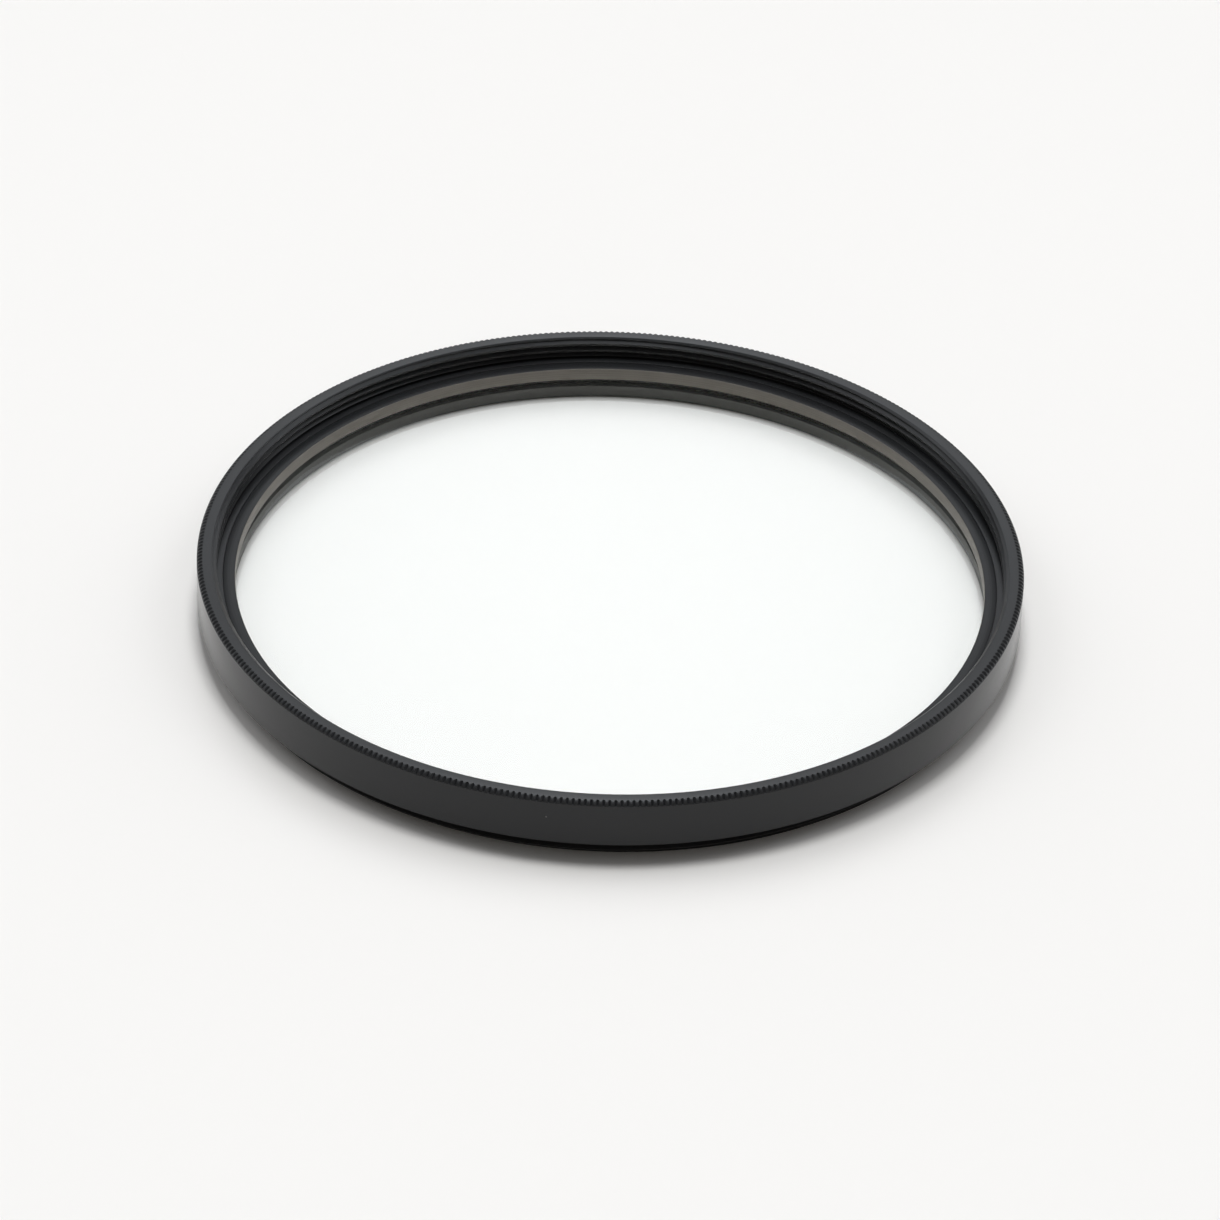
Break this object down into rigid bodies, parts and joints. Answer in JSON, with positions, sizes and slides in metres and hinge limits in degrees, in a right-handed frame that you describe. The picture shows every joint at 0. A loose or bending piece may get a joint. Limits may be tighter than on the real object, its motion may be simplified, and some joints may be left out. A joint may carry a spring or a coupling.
{
  "type": "protective lens filter",
  "caption": "Round screw-in protective filter for a camera lens: clear coated glass held in a thin black metal ring with a notched front edge and a thread on both faces.",
  "frame": {"origin": "middle of the rear face, on the optical axis", "axes": "+Z along the optical axis, from the rear thread to the front rim; round about it, so X and Y are free"},
  "size_m": [0.08, 0.08, 0.007],
  "materials": {
    "frame_anodising": "satin black anodised, fine bead-blasted grain",
    "coated_glass": "clear, polished, anti-reflection coated",
    "retainer_anodising": "satin black anodised, fine turning marks"
  },
  "bodies": {
    "root": {"filter_frame": "frame_anodising", "glass_disc": "coated_glass", "retaining_ring": "retainer_anodising"}
  },
  "joints": []
}
